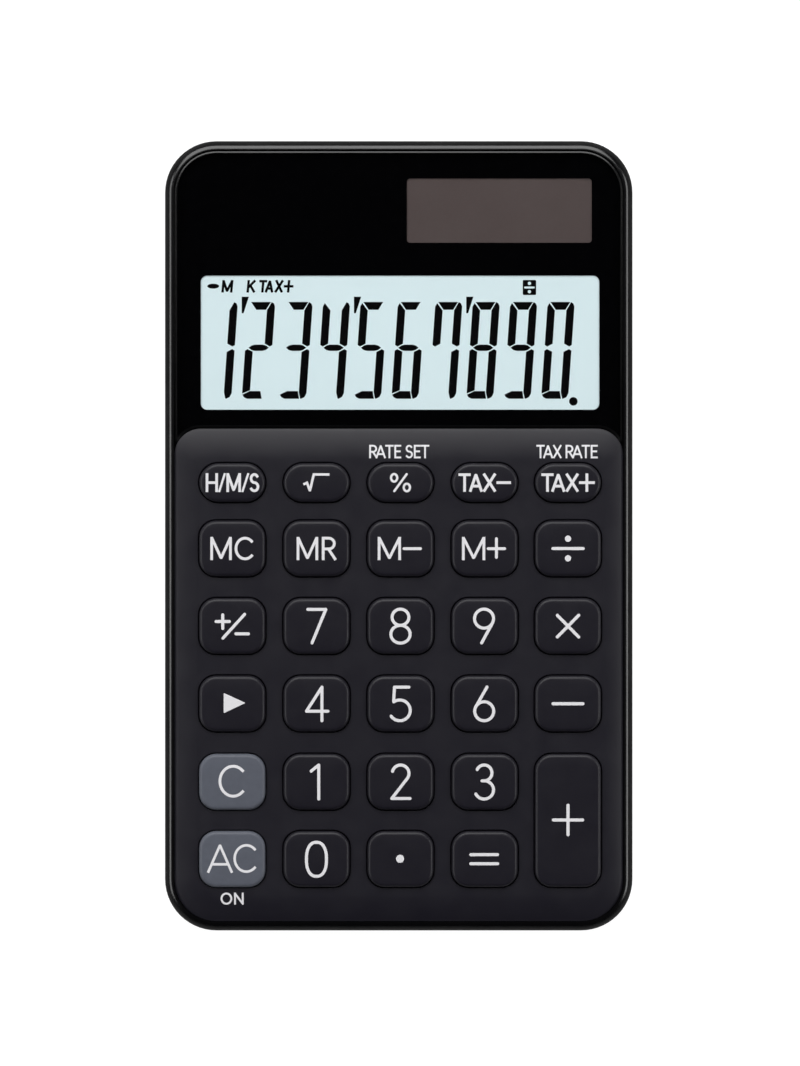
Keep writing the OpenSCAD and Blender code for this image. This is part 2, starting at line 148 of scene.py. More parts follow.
class Build:
    """Collects vertices in millimetres and makes one smooth-shaded mesh object in metres."""

    def __init__(self):
        self.v, self.f, self.m = [], [], []

    def ring(self, pts, z):
        a = len(self.v)
        for i, p in enumerate(pts):
            self.v.append((p[0], p[1], z[i] if isinstance(z, (list, tuple)) else z))
        return list(range(a, len(self.v)))

    def bridge(self, a, b, mat=0, flip=False):
        n = len(a)
        for i in range(n):
            j = (i + 1) % n
            q = (a[i], a[j], b[j], b[i])
            self.f.append(tuple(reversed(q)) if flip else q)
            self.m.append(mat)

    def cap(self, a, mat=0, flip=False):
        self.f.append(tuple(reversed(a)) if flip else tuple(a))
        self.m.append(mat)

    def fan(self, a, p, mat=0, flip=False):
        c = len(self.v)
        self.v.append(p)
        for i in range(len(a)):
            t = (a[i], a[(i + 1) % len(a)], c)
            self.f.append(tuple(reversed(t)) if flip else t)
            self.m.append(mat)

    def loft(self, rings, mat=0):
        """rings: list of (points, z), joined in order. Goes up the outside with outward normals."""
        ids = [self.ring(p, z) for p, z in rings]
        for a, b in zip(ids, ids[1:]):
            self.bridge(a, b, mat)
        return ids

    def sheet(self, outer, holes, z, mat=0, up=True, extra=()):
        """A flat face at height z between an outer ring and hole rings (lists of vertex ids already made)."""
        loops = [outer] + list(holes)
        ids = [i for lp in loops for i in lp]
        co = [Vector((self.v[i][0], self.v[i][1])) for i in ids]
        edges, at = [], 0
        for lp in loops:
            n = len(lp)
            edges += [(at + i, at + (i + 1) % n) for i in range(n)]
            at += n
        for p in extra:
            co.append(Vector(p))
        v2, e2, f2, ov, oe, of = delaunay_2d_cdt(co, edges, [], 0, 1e-7)
        back = []
        for k, src in enumerate(ov):
            if src and src[0] < len(ids):
                back.append(ids[src[0]])
            else:
                self.v.append((v2[k].x, v2[k].y, z))
                back.append(len(self.v) - 1)
        polys = [[(self.v[i][0], self.v[i][1]) for i in lp] for lp in loops]
        for f in f2:
            cx = sum(v2[i].x for i in f) / len(f)
            cy = sum(v2[i].y for i in f) / len(f)
            if not inside((cx, cy), polys[0]) or any(inside((cx, cy), h) for h in polys[1:]):
                continue
            t = [back[i] for i in f]
            area = sum(v2[f[i]].x * v2[f[(i + 1) % len(f)]].y - v2[f[(i + 1) % len(f)]].x * v2[f[i]].y for i in range(len(f)))
            if (area < 0) == up:
                t.reverse()
            self.f.append(tuple(t))
            self.m.append(mat)

    def tube(self, cx, cy, r, z0, z1, n=24, bottom=True, top=True, mat=0, chamfer=0.0):
        c = chamfer
        rings = [(circle(cx, cy, r, n), z0), (circle(cx, cy, r, n), z1)]
        if c:
            rings = [(circle(cx, cy, r - c, n), z0), (circle(cx, cy, r, n), z0 + c), (circle(cx, cy, r, n), z1)]
        ids = self.loft(rings, mat)
        if bottom:
            self.cap(ids[0], mat, flip=True)
        if top:
            self.cap(ids[-1], mat)
        return ids

    def make(self, name, mats, angle=35, smooth=True):
        me = bpy.data.meshes.new(name)
        me.from_pydata([(x * MM, y * MM, z * MM) for x, y, z in self.v], [], self.f)
        for m in mats if isinstance(mats, (list, tuple)) else [mats]:
            me.materials.append(m)
        me.polygons.foreach_set("material_index", self.m)
        me.polygons.foreach_set("use_smooth", [smooth] * len(me.polygons))
        me.update()
        me.validate()
        if smooth:
            me.set_sharp_from_angle(angle=math.radians(angle))
        ob = bpy.data.objects.new(name, me)
        bpy.context.scene.collection.objects.link(ob)
        return ob


def inside(p, poly):
    x, y = p
    c = False
    n = len(poly)
    j = n - 1
    for i in range(n):
        xi, yi = poly[i]
        xj, yj = poly[j]
        if (yi > y) != (yj > y) and x < (xj - xi) * (y - yi) / (yj - yi) + xi:
            c = not c
        j = i
    return c


def quarter(n, f, h):
    """Steps of a rounded edge: (how far in, how far below the top)."""
    out = []
    for i in range(n + 1):
        a = math.pi / 2 * i / n
        out.append((f * (1 - math.cos(a)), h * (1 - math.sin(a))))
    return out


# ------------------------------------------------------------------ materials
def lin(c):
    return tuple((v / 255 / 12.92) if v / 255 <= 0.04045 else ((v / 255 + 0.055) / 1.055) ** 2.4 for v in c)


class Mat:
    def __init__(self, name):
        self.m = bpy.data.materials.new(name)
        self.m.use_nodes = True
        self.nt = self.m.node_tree
        self.n = self.nt.nodes
        self.b = self.n["Principled BSDF"]
        self.tc = self.n.new("ShaderNodeTexCoord")

    def set(self, **kw):
        for k, v in kw.items():
            s = self.b.inputs[k.replace("_", " ")]
            s.default_value = (*v, 1.0) if isinstance(v, tuple) and len(v) == 3 else v
        return self

    def noise(self, scale, detail=3.0, rough=0.55, coord="Object"):
        t = self.n.new("ShaderNodeTexNoise")
        t.inputs["Scale"].default_value = scale
        t.inputs["Detail"].default_value = detail
        t.inputs["Roughness"].default_value = rough
        self.nt.links.new(self.tc.outputs[coord], t.inputs["Vector"])
        return t.outputs["Fac"]

    def voronoi(self, scale, feature="F1"):
        t = self.n.new("ShaderNodeTexVoronoi")
        t.feature = feature
        t.inputs["Scale"].default_value = scale
        self.nt.links.new(self.tc.outputs["Object"], t.inputs["Vector"])
        return t.outputs["Distance"]

    def remap(self, src, a, b, lo=0.0, hi=1.0):
        t = self.n.new("ShaderNodeMapRange")
        t.inputs["From Min"].default_value = lo
        t.inputs["From Max"].default_value = hi
        t.inputs["To Min"].default_value = a
        t.inputs["To Max"].default_value = b
        self.nt.links.new(src, t.inputs["Value"])
        return t.outputs["Result"]

    def mix(self, fac, a, b):
        t = self.n.new("ShaderNodeMix")
        t.data_type = "RGBA"
        if isinstance(fac, float):
            t.inputs[0].default_value = fac
        else:
            self.nt.links.new(fac, t.inputs[0])
        for i, c in ((6, a), (7, b)):
            if isinstance(c, tuple):
                t.inputs[i].default_value = (*c, 1.0)
            else:
                self.nt.links.new(c, t.inputs[i])
        return t.outputs[2]

    def to(self, src, socket):
        self.nt.links.new(src, self.b.inputs[socket])
        return self

    def bump(self, height, strength, distance):
        t = self.n.new("ShaderNodeBump")
        t.inputs["Strength"].default_value = strength
        t.inputs["Distance"].default_value = distance
        self.nt.links.new(height, t.inputs["Height"])
        self.nt.links.new(t.outputs["Normal"], self.b.inputs["Normal"])
        return self


def plastic(name, base, rough, grain=6000.0, depth=0.000012, strength=0.35, var=0.12, spec=0.5, rvar=0.06):
    """Moulded plastic with a fine spark-eroded grain and slight colour and gloss variation."""
    m = Mat(name)
    dark = tuple(c * (1 - var) for c in base)
    light = tuple(c * (1 + var) for c in base)
    m.to(m.mix(m.noise(900, 4), dark, light), "Base Color")
    m.to(m.remap(m.noise(260, 3), rough - rvar, rough + rvar, 0.3, 0.7), "Roughness")
    m.bump(m.noise(grain, 2, 0.6), strength, depth)
    m.b.inputs["Specular IOR Level"].default_value = spec
    return m.m


CASE_BLACK = plastic("case_black", (0.0016, 0.0016, 0.0020), 0.21, grain=5000, depth=0.000004, strength=0.1, spec=0.62, rvar=0.015)
BACK_BLACK = plastic("back_black", lin((24, 24, 27)), 0.52, grain=3200, depth=0.00003, strength=0.55)
PLATE = plastic("plate_satin", (0.0080, 0.0072, 0.0122), 0.40, grain=5200, depth=0.000012, strength=0.3, spec=0.43, rvar=0.03)
KEY_DARK = plastic("key_black", (0.0100, 0.0091, 0.0140), 0.38, grain=5200, depth=0.000012, strength=0.3, spec=0.30, rvar=0.03)
KEY_GREY = plastic("key_grey", (0.099, 0.107, 0.132), 0.40, grain=5200, depth=0.000012, strength=0.3, spec=0.30, rvar=0.03)
INK = plastic("legend_white", lin((228, 227, 230)), 0.5, grain=9000, depth=0.000004, strength=0.2, var=0.02)
HOLDER = plastic("holder_black", lin((38, 38, 42)), 0.6)
SILICONE = plastic("silicone", lin((200, 202, 206)), 0.5, grain=2500, depth=0.00002, var=0.03)
CARBON = plastic("carbon_black", lin((22, 22, 24)), 0.65, grain=9000, var=0.2)
EPOXY = plastic("epoxy_black", lin((16, 16, 18)), 0.25, grain=900, depth=0.00004, strength=0.2)


def build_materials():
    out = {}
    # gloss black print behind the acrylic
    m = Mat("print_black")
    m.to(m.mix(m.noise(700, 3), lin((1, 1, 2)), lin((4, 4, 5))), "Base Color")
    m.to(m.remap(m.noise(300, 2), 0.55, 0.65), "Roughness")
    m.b.inputs["Specular IOR Level"].default_value = 0.0
    out["print"] = m.m
    # clear acrylic: lets everything through and mirrors by its angle
    m = Mat("clear_acrylic")
    m.n.remove(m.b)
    tr = m.n.new("ShaderNodeBsdfTransparent")
    tr.inputs["Color"].default_value = (1, 1, 1, 1)
    gl = m.n.new("ShaderNodeBsdfGlossy")
    gl.inputs["Color"].default_value = (1, 1, 1, 1)
    fr = m.n.new("ShaderNodeLayerWeight")
    fr.inputs["Blend"].default_value = 0.5
    pw = m.n.new("ShaderNodeMath")
    pw.operation = "POWER"
    pw.inputs[1].default_value = 5.0
    m.nt.links.new(fr.outputs["Facing"], pw.inputs[0])
    share = m.n.new("ShaderNodeMath")
    share.operation = "MULTIPLY_ADD"
    share.inputs[1].default_value = 0.98
    share.inputs[2].default_value = 0.02
    m.nt.links.new(pw.outputs[0], share.inputs[0])
    mx = m.n.new("ShaderNodeMixShader")
    nz = m.remap(m.noise(500, 3), 0.03, 0.05)
    m.nt.links.new(nz, gl.inputs["Roughness"])
    m.nt.links.new(share.outputs[0], mx.inputs[0])
    m.nt.links.new(tr.outputs[0], mx.inputs[1])
    m.nt.links.new(gl.outputs[0], mx.inputs[2])
    m.nt.links.new(mx.outputs[0], m.n["Material Output"].inputs["Surface"])
    out["acrylic"] = m.m
    # its underside is bonded to the print, so it has no gloss of its own
    m = Mat("acrylic_under")
    m.n.remove(m.b)
    tr = m.n.new("ShaderNodeBsdfTransparent")
    tint = m.mix(m.noise(300, 2), (0.985, 0.99, 0.99), (1.0, 1.0, 1.0))
    m.nt.links.new(tint, tr.inputs["Color"])
    m.nt.links.new(tr.outputs[0], m.n["Material Output"].inputs["Surface"])
    out["acrylic_under"] = m.m
    out["acrylic_edge"] = plastic("acrylic_edge", (0.0012, 0.0012, 0.0014), 0.24, grain=5000, depth=0.000002, strength=0.1, spec=0.6, rvar=0.015)
    # display face: pale blue-green film with a faint mottle
    m = Mat("display_film")
    a = m.mix(m.noise(180, 3), (0.695, 0.835, 0.865), (0.725, 0.865, 0.895))
    m.to(m.mix(m.remap(m.noise(9000, 2), 0.0, 0.30, 0.3, 0.8), a, (0.65, 0.795, 0.83)), "Base Color")
    m.to(m.remap(m.noise(400, 2), 0.42, 0.5), "Roughness")
    m.b.inputs["Specular IOR Level"].default_value = 0.25
    m.bump(m.noise(7000, 2), 0.2, 0.000004)
    out["film"] = m.m
    m = Mat("segment_black")
    m.to(m.mix(m.noise(1500, 2), lin((1, 1, 2)), lin((4, 4, 5))), "Base Color")
    m.to(m.remap(m.noise(400, 2), 0.45, 0.55), "Roughness")
    m.b.inputs["Specular IOR Level"].default_value = 0.04
    out["segment"] = m.m
    # solar cell: brown amorphous film behind glass
    m = Mat("solar_film")
    a = m.mix(m.noise(120, 3), lin((73, 63, 62)), lin((82, 73, 72)))
    w = m.n.new("ShaderNodeTexNoise")
    w.inputs["Scale"].default_value = 5000
    m.nt.links.new(m.tc.outputs["Object"], w.inputs["Vector"])
    m.to(m.mix(m.remap(w.outputs["Fac"], 0.0, 0.4, 0.35, 0.75), a, lin((87, 76, 74))), "Base Color")
    m.to(m.remap(m.noise(300, 2), 0.3, 0.4), "Roughness")
    m.b.inputs["Specular IOR Level"].default_value = 0.3
    out["solar"] = m.m
    # thin glass of the display, hidden behind the film
    m = Mat("display_glass")
    m.to(m.mix(m.noise(300, 2), (0.70, 0.80, 0.79), (0.76, 0.85, 0.84)), "Base Color")
    m.to(m.remap(m.noise(300, 2), 0.04, 0.08), "Roughness")
    m.b.inputs["IOR"].default_value = 1.5
    m.b.inputs["Transmission Weight"].default_value = 0.9
    out["glass"] = m.m
    m = Mat("reflector")
    m.to(m.mix(m.noise(800, 3), (0.72, 0.74, 0.73), (0.82, 0.84, 0.83)), "Base Color")
    m.to(m.remap(m.noise(900, 2), 0.3, 0.42), "Roughness")
    m.b.inputs["Metallic"].default_value = 0.9
    out["reflector"] = m.m
    # bright metals
    m = Mat("screw_steel")
    m.to(m.mix(m.noise(2500, 4), (0.42, 0.42, 0.44), (0.60, 0.60, 0.62)), "Base Color")
    m.to(m.remap(m.noise(3000, 3), 0.22, 0.42), "Roughness")
    m.b.inputs["Metallic"].default_value = 1.0
    m.bump(m.noise(6000, 3), 0.3, 0.00001)
    out["steel"] = m.m
    m = Mat("battery_steel")
    m.to(m.mix(m.noise(600, 4), (0.58, 0.58, 0.60), (0.72, 0.72, 0.73)), "Base Color")
    m.to(m.remap(m.noise(1200, 3), 0.18, 0.32), "Roughness")
    m.b.inputs["Metallic"].default_value = 1.0
    out["battery"] = m.m
    m = Mat("spring_brass")
    m.to(m.mix(m.noise(1500, 4), (0.62, 0.52, 0.30), (0.75, 0.66, 0.42)), "Base Color")
    m.to(m.remap(m.noise(1800, 3), 0.22, 0.38), "Roughness")
    m.b.inputs["Metallic"].default_value = 1.0
    out["brass"] = m.m
    # circuit board: green lacquer over a faint copper pattern
    m = Mat("board_lacquer")
    wv = m.n.new("ShaderNodeTexBrick")
    wv.inputs["Scale"].default_value = 260
    wv.inputs["Mortar Size"].default_value = 0.03
    wv.inputs["Color1"].default_value = (0.012, 0.10, 0.035, 1)
    wv.inputs["Color2"].default_value = (0.016, 0.12, 0.045, 1)
    wv.inputs["Mortar"].default_value = (0.035, 0.20, 0.08, 1)
    m.nt.links.new(m.tc.outputs["Object"], wv.inputs["Vector"])
    m.to(m.mix(m.remap(m.noise(700, 3), 0.0, 0.4), wv.outputs["Color"], (0.010, 0.08, 0.03)), "Base Color")
    m.to(m.remap(m.noise(700, 2), 0.28, 0.4), "Roughness")
    m.bump(wv.outputs["Fac"], 0.3, 0.00002)
    out["board"] = m.m
    m = Mat("part_ceramic")
    m.to(m.mix(m.noise(1500, 3), (0.30, 0.20, 0.11), (0.42, 0.30, 0.18)), "Base Color")
    m.to(m.remap(m.noise(900, 2), 0.45, 0.6), "Roughness")
    out["ceramic"] = m.m
    m = Mat("wire_red")
    m.to(m.mix(m.noise(1500, 3), (0.38, 0.02, 0.015), (0.50, 0.04, 0.03)), "Base Color")
    m.to(m.remap(m.noise(900, 2), 0.3, 0.4), "Roughness")
    out["wire"] = m.m
    m = Mat("adhesive_film")
    m.to(m.mix(m.noise(900, 3), (0.62, 0.58, 0.46), (0.72, 0.68, 0.56)), "Base Color")
    m.to(m.remap(m.noise(900, 2), 0.5, 0.65), "Roughness")
    out["tape"] = m.m
    m = Mat("zebra_rubber")
    st = m.n.new("ShaderNodeTexWave")
    st.inputs["Scale"].default_value = 1600
    st.inputs["Distortion"].default_value = 0.3
    m.nt.links.new(m.tc.outputs["Object"], st.inputs["Vector"])
    m.to(m.mix(st.outputs["Fac"], (0.55, 0.16, 0.20), (0.08, 0.07, 0.08)), "Base Color")
    m.to(m.remap(m.noise(900, 2), 0.55, 0.7), "Roughness")
    out["zebra"] = m.m
    m = Mat("foam_grey")
    m.to(m.mix(m.voronoi(3500), (0.02, 0.02, 0.022), (0.07, 0.07, 0.075)), "Base Color")
    m.to(m.remap(m.noise(900, 2), 0.8, 0.95), "Roughness")
    m.bump(m.voronoi(3500), 0.8, 0.0001)
    out["foam"] = m.m
    return out


MT = build_materials()


# ------------------------------------------------------------------ strokes for legends
def arc(cx, cy, rx, ry, a0, a1, n=None):
    n = n or max(4, int(abs(a1 - a0) / 9))
    return [(cx + rx * math.cos(math.radians(a0 + (a1 - a0) * i / n)), cy + ry * math.sin(math.radians(a0 + (a1 - a0) * i / n))) for i in range(n + 1)]


def tangent(cx, cy, r, px, py, side):
    """The point where a line from (px, py) touches the circle, on one side."""
    dx, dy = px - cx, py - cy
    d = math.hypot(dx, dy)
    a = math.atan2(dy, dx)
    b = math.acos(r / d) * side
    return cx + r * math.cos(a + b), cy + r * math.sin(a + b)


def dense(s, step=0.7):
    """Adds points along long straight runs, so that a print can follow a curved surface."""
    out = [s[0]]
    for (x0, y0), (x1, y1) in zip(s, s[1:]):
        n = max(1, int(math.ceil(math.hypot(x1 - x0, y1 - y0) / step)))
        out += [(x0 + (x1 - x0) * i / n, y0 + (y1 - y0) * i / n) for i in range(1, n + 1)]
    return out


def outline_regions(strokes, width, cap="round"):
    """Each stroke as overlapping convex pieces: quads for its straight runs and fillers at its joints.
    cap is round, or square for letters, which also get pointed joints."""
    out = []
    h = width / 2
    for s in strokes:
        if len(s) == 1:
            out.append(circle(s[0][0], s[0][1], h, 24))
            continue
        closed = math.hypot(s[0][0] - s[-1][0], s[0][1] - s[-1][1]) < 1e-6
        if cap == "square" and not closed:
            def push(a, b):
                d = math.hypot(a[0] - b[0], a[1] - b[1])
                return a[0] + (a[0] - b[0]) / d * h * 0.92, a[1] + (a[1] - b[1]) / d * h * 0.92
            s = [push(s[0], s[1])] + list(s[1:-1]) + [push(s[-1], s[-2])]
        s = dense(s)
        for i in range(len(s) - 1):
            (x0, y0), (x1, y1) = s[i], s[i + 1]
            d = math.hypot(x1 - x0, y1 - y0)
            if d < 1e-9:
                continue
            nx, ny = -(y1 - y0) / d * h, (x1 - x0) / d * h
            out.append([(x0 - nx, y0 - ny), (x1 - nx, y1 - ny), (x1 + nx, y1 + ny), (x0 + nx, y0 + ny)])
        for i, p in enumerate(s):
            end = i in (0, len(s) - 1)
            if end and not closed:
                if cap == "round":
                    out.append(circle(p[0], p[1], h, 20))
                continue
            q0, q1 = (s[-2], s[1]) if end else (s[i - 1], s[i + 1])
            a0 = math.atan2(p[1] - q0[1], p[0] - q0[0])
            a1 = math.atan2(q1[1] - p[1], q1[0] - p[0])
            turn = (a1 - a0 + math.pi) % (2 * math.pi) - math.pi
            if abs(turn) < 0.02:
                continue
            if cap == "round" or abs(turn) < 0.5:
                out.append(circle(p[0], p[1], h, 16))
                continue
            g = -1 if turn > 0 else 1  # the outer side of the bend
            c0 = (p[0] - math.sin(a0) * h * g, p[1] + math.cos(a0) * h * g)
            c1 = (p[0] - math.sin(a1) * h * g, p[1] + math.cos(a1) * h * g)
            k = 1 / max(math.cos(turn / 2), 0.05)
            am = a0 + turn / 2
            if k < 1.7:
                out.append([p, c0, (p[0] - math.sin(am) * h * k * g, p[1] + math.cos(am) * h * k * g), c1])
            else:
                b = math.cos(turn / 2) + 0.35 * math.sin(abs(turn) / 2)
                m = (p[0] - math.sin(am) * h * g * b, p[1] + math.cos(am) * h * g * b)
                out.append([p, c0, m, c1])
    return out


def merge_regions(regions, holes=()):
    """Union of overlapping polygons: one triangulation, with the points, the triangles and the rim edges."""
    co, faces = [], []
    for poly in list(regions) + list(holes):
        a = sum(poly[i][0] * poly[(i + 1) % len(poly)][1] - poly[(i + 1) % len(poly)][0] * poly[i][1] for i in range(len(poly)))
        if a < 0:
            poly = list(reversed(poly))
        faces.append(list(range(len(co), len(co) + len(poly))))
        co += [Vector(p) for p in poly]
    v, e, f, ov, oe, of = delaunay_2d_cdt(co, [], faces, 1, 1e-5)
    nr = len(regions)
    keep = []
    for i, t in enumerate(f):
        src = of[i]
        if any(s >= nr for s in src) or not any(s < nr for s in src):
            continue
        (x0, y0), (x1, y1), (x2, y2) = (v[j] for j in t[:3])
        if abs((x1 - x0) * (y2 - y0) - (x2 - x0) * (y1 - y0)) < 1e-9:
            continue
        keep.append(list(t))
    count = {}
    for t in keep:
        for i in range(len(t)):
            a, b = t[i], t[(i + 1) % len(t)]
            count[(a, b)] = count.get((a, b), 0) + 1
    rim = [(a, b) for (a, b) in count if (b, a) not in count]
    return [(p.x, p.y) for p in v], keep, rim


def decal(name, regions, z_of, mat, thick=0.02, holes=(), sink=0.01, origin=(0, 0)):
    """A thin raised print: its top stands thick above the surface and its foot goes sink below it."""
    pts, tris, rim = merge_regions(regions, holes)
    used = sorted({i for t in tris for i in t})
    index = {o: k for k, o in enumerate(used)}
    b = Build()
    ox, oy = origin
    for o in used:
        x, y = pts[o][0] + ox, pts[o][1] + oy
        b.v.append((x, y, z_of(x, y) + thick))
    n = len(used)
    for o in used:
        x, y = pts[o][0] + ox, pts[o][1] + oy
        b.v.append((x, y, z_of(x, y) - sink))
    for t in tris:
        q = [index[i] for i in t]
        b.f.append(tuple(q))
        b.m.append(0)
        b.f.append(tuple(n + i for i in reversed(q)))
        b.m.append(0)
    for a, c in rim:
        i, j = index[a], index[c]
        b.f.append((j, i, n + i, n + j))
        b.m.append(0)
    return b.make(name, mat, angle=30)


# letters in a box of 1 by 1, as centrelines
def glyph(ch):
    A = arc
    return {
        "H": [[(0, 0), (0, 1)], [(1, 0), (1, 1)], [(0, 0.5), (1, 0.5)]],
        "M": [[(0, 0), (0, 1)], [(1, 0), (1, 1)], [(0.03, 0.97), (0.5, 0.04), (0.97, 0.97)]],
        "S": [A(0.5, 0.75, 0.46, 0.25, 32, 268, 14) + A(0.5, 0.25, 0.50, 0.25, 88, -148, 14)],
        "/": [[(0, 0), (1, 1)]],
        "T": [[(0, 1), (1, 1)], [(0.5, 0.96), (0.5, 0)]],
        "A": [[(0, 0), (0.5, 1), (1, 0)], [(0.2, 0.28), (0.8, 0.28)]],
        "X": [[(0, 0), (1, 1)], [(0, 1), (1, 0)]],
        "-": [[(0, 0.5), (1, 0.5)]],
        "+": [[(0, 0.5), (1, 0.5)], [(0.5, 0), (0.5, 1)]],
        "R": [[(0, 0), (0, 1), (0.5, 1)] + A(0.48, 0.74, 0.46, 0.26, 88, -88, 10) + [(0, 0.48)], [(0.46, 0.46), (1, 0)]],
        "E": [[(1, 1), (0, 1), (0, 0), (1, 0)], [(0, 0.52), (0.88, 0.52)]],
        "C": [A(0.55, 0.5, 0.55, 0.5, 44, 316, 26)],
        "O": [A(0.5, 0.5, 0.5, 0.5, 0, 360, 28)],
        "N": [[(0, 0), (0, 1)], [(1, 0), (1, 1)], [(0.03, 0.97), (0.97, 0.03)]],
        "K": [[(0, 0), (0, 1)], [(0.96, 1), (0.05, 0.40)], [(0.34, 0.58), (1, 0)]],
    }[ch]


def word(items, height, stroke, slant=0.0, cap="square"):
    """Regions of a word: items are (letter, left edge, right edge) in millimetres from the word's centre."""
    out = []
    h = height - stroke
    for ch, x0, x1 in items:
        a, w = x0 + stroke / 2, x1 - x0 - stroke
        ss = [[(a + x * w + slant * (y - 0.5) * h, (y - 0.5) * h) for x, y in s] for s in glyph(ch)]
        out += outline_regions(ss, stroke, cap)
    return out


def digit_strokes(d):
    A = arc
    if d == "0":
        pts = []
        for i in range(49):
            a = 2 * math.pi * i / 48
            c, s = math.cos(a), math.sin(a)
            p = 2 / 2.35
            pts.append((math.copysign(abs(c) ** p, c) * 1.50, math.copysign(abs(s) ** p, s) * 2.54))
        return [pts]
    if d == "1":
        return [[(-0.80, 1.62), (0.34, 2.54), (0.34, -2.54)]]
    if d == "2":
        return [A(0.02, 1.29, 1.25, 1.25, 166, -33) + [(-1.30, -2.46), (1.44, -2.46)]]
    if d == "3":
        return [A(-0.08, 1.36, 1.16, 1.18, 155, -90) , [(-0.40, 0.18), (-0.08, 0.18)], A(-0.08, -1.18, 1.40, 1.36, 90, -153)]
    if d == "4":
        return [[(0.82, -2.54), (0.82, 2.48), (-1.50, -1.12), (1.72, -1.12)]]
    if d == "5":
        return [[(1.26, 2.48), (-0.90, 2.48), (-1.02, 0.34)] + A(-0.10, -0.99, 1.56, 1.55, 125, -146)]
    if d == "6":
        cx, cy, r = -0.08, -1.12, 1.42
        px, py = 0.34, 2.50
        t = tangent(cx, cy, r, px, py, 1)
        return [A(cx, cy, r, r, 0, 360), [(px, py), t]]
    if d == "7":
        return [[(-1.30, 2.50), (1.40, 2.50), (-0.66, -2.50)]]
    if d == "8":
        return [A(0, 1.33, 1.25, 1.21, 0, 360), A(0, -1.21, 1.44, 1.33, 0, 360)]
    if d == "9":
        cx, cy, r = -0.10, 1.12, 1.42
        px, py = -0.46, -2.50
        t = tangent(cx, cy, r, px, py, 1)
        return [A(cx, cy, r, r, 0, 360), [(px, py), t]]


def legend_regions(k):
    """Polygons of a key's legend, in millimetres about the key's centre."""
    A = arc
    if k in "0123456789":
        return outline_regions(digit_strokes(k), 0.45), ()
    words = {
        "tax_minus": ([("T", -3.94, -2.08), ("A", -2.34, -0.30), ("X", -0.26, 1.68), ("-", 1.74, 3.94)], 2.78, 0.41),
        "tax_plus": ([("T", -4.00, -2.14), ("A", -2.50, -0.42), ("X", -0.34, 1.58), ("+", 1.62, 4.02)], 2.78, 0.41),
        "mc": ([("M", -3.27, -0.05), ("C", 0.36, 3.26)], 3.50, 0.41),
        "mr": ([("M", -2.96, 0.26), ("R", 0.80, 2.98)], 3.50, 0.41),
        "c": ([("C", -2.04, 1.98)], 4.90, 0.42),
        "ac": ([("A", -3.74, 0.10), ("C", 0.18, 3.74)], 4.32, 0.38),
    }
    if k == "hms":
        return word([("H", -3.96, -2.12), ("M", -0.86, 1.32), ("S", 2.58, 4.06)], 2.85, 0.40) + word([("/", -2.08, -0.96), ("/", 1.40, 2.54)], 2.85, 0.32), ()
    if k in words:
        items, h, w = words[k]
        return word(items, h, w), ()
    if k in ("m_minus", "m_plus"):
        y = -0.02
        extra = [[(0.52, y), (2.98, y)]]
        if k == "m_plus":
            extra.append([(1.75, y - 1.30), (1.75, y + 1.48)])
        return word([("M", -3.40, 0.08)], 3.50, 0.41) + outline_regions(extra, 0.43), ()
    if k == "sqrt":
        return outline_regions([[(-1.80, -0.20), (-1.42, -0.02), (-0.98, -1.22), (-0.40, 1.22), (1.78, 1.22)]], 0.36, "square"), ()
    if k == "percent":
        s = [A(-0.95, 0.72, 0.46, 0.56, 0, 360), A(0.95, -0.72, 0.46, 0.56, 0, 360), [(-0.92, -1.26), (0.92, 1.26)]]
        return outline_regions(s, 0.34), ()
    if k == "divide":
        return outline_regions([[(-2.26, 0), (2.26, 0)]], 0.46) + [circle(0, 1.47, 0.47, 28), circle(0, -1.47, 0.47, 28)], ()
    if k == "multiply":
        return outline_regions([[(-1.60, 1.62), (1.60, -1.62)], [(-1.60, -1.62), (1.60, 1.62)]], 0.46), ()
    if k == "minus":
        return outline_regions([[(-2.22, 0), (2.22, 0)]], 0.48), ()
    if k == "plus":
        return outline_regions([[(-2.18, 0.1), (2.18, 0.1)], [(0, -2.1), (0, 2.3)]], 0.47), ()
    if k == "equals":
        return outline_regions([[(-2.08, 0.70), (1.92, 0.70)], [(-2.08, -0.66), (1.92, -0.66)]], 0.46), ()
    if k == "point":
        return [circle(-0.06, 0.08, 0.60, 32)], ()
    if k == "sign":
        s = [[(-2.40, 0.69), (-0.42, 0.69)], [(-1.41, -0.35), (-1.41, 1.69)], [(0.57, -1.15), (2.43, -1.15)]]
        return outline_regions(s, 0.46) + outline_regions([[(-1.38, -1.80), (1.86, 1.77)]], 0.44), ()
    if k == "backspace":
        a, b, c = (-1.20, 1.52), (-1.20, -1.32), (1.86, 0.12)
        return [[a, b, c]] + outline_regions([[a, b, c, a]], 0.12), ()
    return [], ()


# ------------------------------------------------------------------ keys
CROWN = 0.07


def key_height(kd):
    """Height of a key's crowned top at a point."""
    def z(x, y):
        u = abs(x - kd["x"]) / (kd["w"] / 2 - 0.6)
        v = abs(y - kd["y"]) / (kd["d"] / 2 - 0.6)
        s = min(1.0, max(u, v))
        return kd["top"] - 0.03 - CROWN * s * s
    return z


